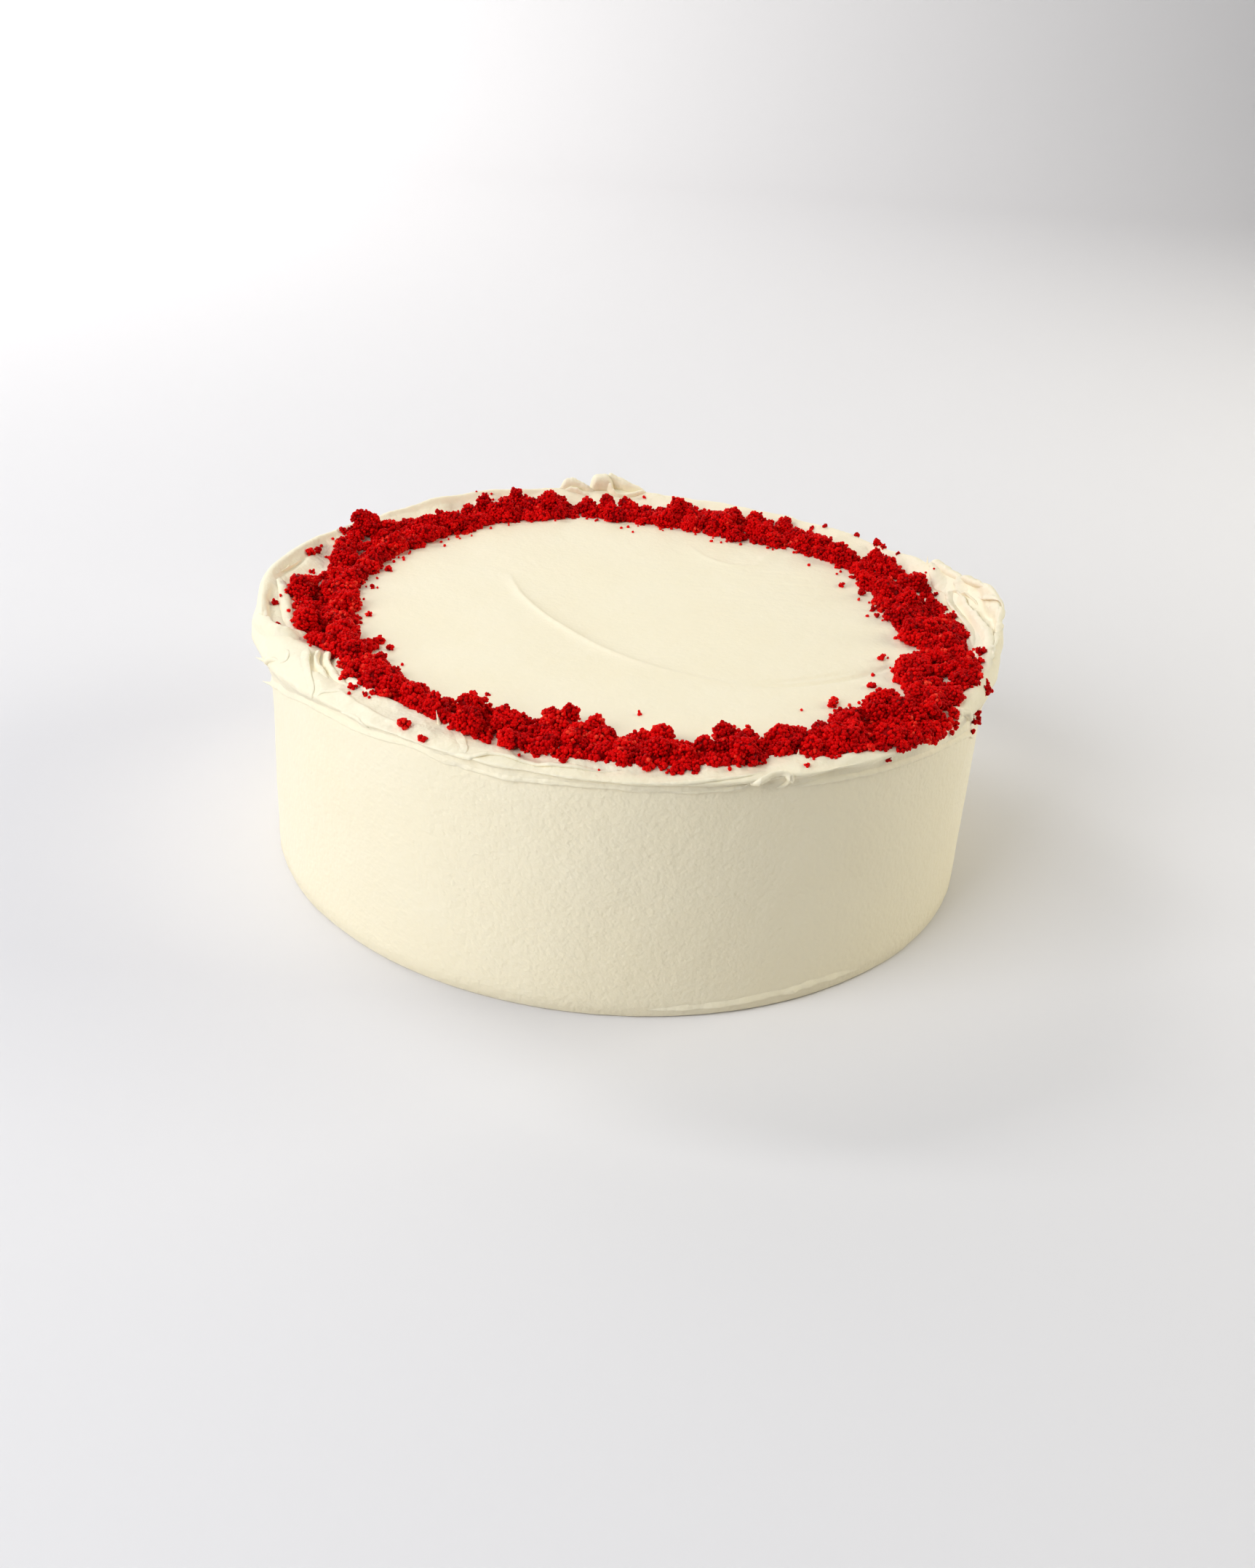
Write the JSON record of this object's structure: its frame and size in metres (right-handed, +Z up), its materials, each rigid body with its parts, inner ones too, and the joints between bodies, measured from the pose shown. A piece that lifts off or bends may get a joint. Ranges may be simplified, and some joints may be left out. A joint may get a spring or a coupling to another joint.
{
  "type": "red velvet cake",
  "caption": "Round uncut red velvet cake under smooth cream cheese frosting, with a folded rim and a ring of red cake crumbs on top.",
  "frame": {"origin": "centre of the flat underside, on the axis of the cake's round wall", "axes": "+Z up from the underside to the crumb ring, -Y towards the front that the picture shows, +X to the right of that front"},
  "size_m": [0.2372, 0.2305, 0.0845],
  "materials": {
    "frosting": "satin cream cheese frosting, smoothed with a spatula",
    "crumb": "moist red cake crumbs"
  },
  "bodies": {
    "root": {"frosted_cake": "frosting"}
  },
  "joints": []
}
